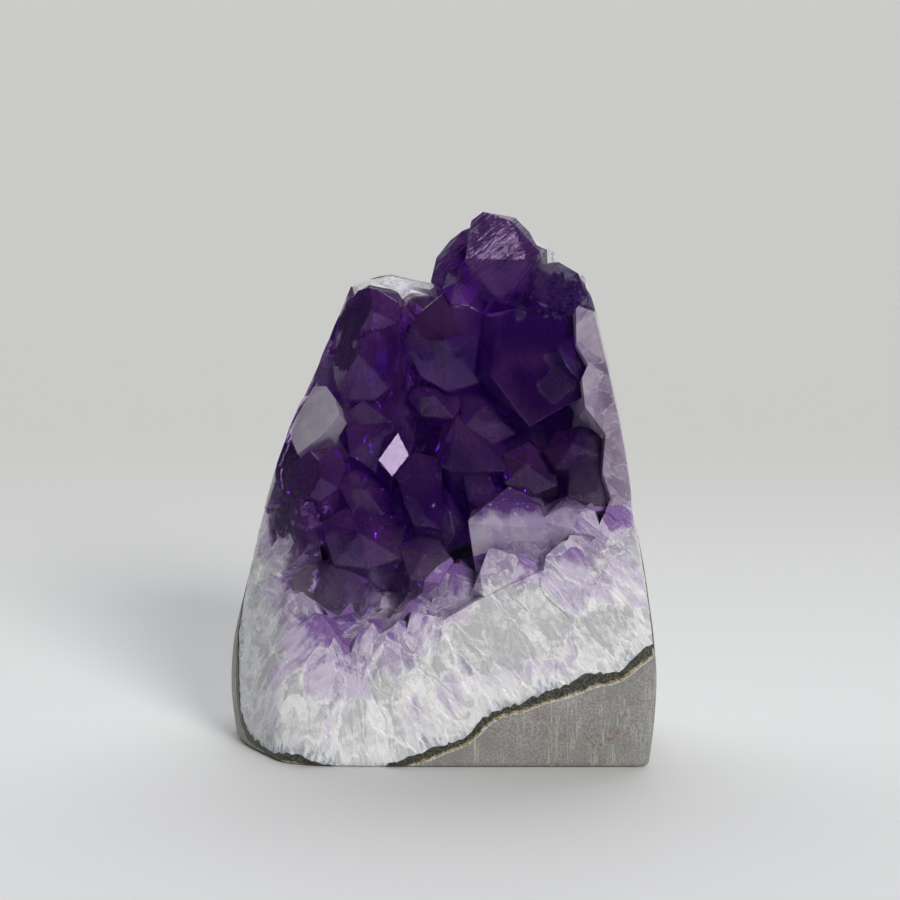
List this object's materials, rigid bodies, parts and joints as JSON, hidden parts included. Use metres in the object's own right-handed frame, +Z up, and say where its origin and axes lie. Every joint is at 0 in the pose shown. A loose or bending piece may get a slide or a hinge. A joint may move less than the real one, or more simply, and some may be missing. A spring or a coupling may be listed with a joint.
{
  "type": "amethyst geode on a cut base",
  "caption": "Free-standing piece of amethyst geode wall on a flat cut base: violet crystals over white quartz, a thin banded lining and grey basalt.",
  "frame": {"origin": "centre of the outline's box at the base, on the surface that the piece stands on", "axes": "+Z up, +Y to the back, -Y towards the crystal face, +X to the right of a viewer who faces the crystals"},
  "size_m": [0.075, 0.047, 0.094],
  "materials": {
    "basalt": "fine grey basalt, sawn and lightly honed, with rust-brown specks",
    "banded_lining": "dark green-black skin with thin white agate and gold-brown bands",
    "quartz": "clear violet crystal tips over milky white quartz roots"
  },
  "bodies": {
    "root": {"basalt_rind": "basalt", "banded_lining": "banded_lining", "quartz_crust": "quartz"}
  },
  "joints": []
}
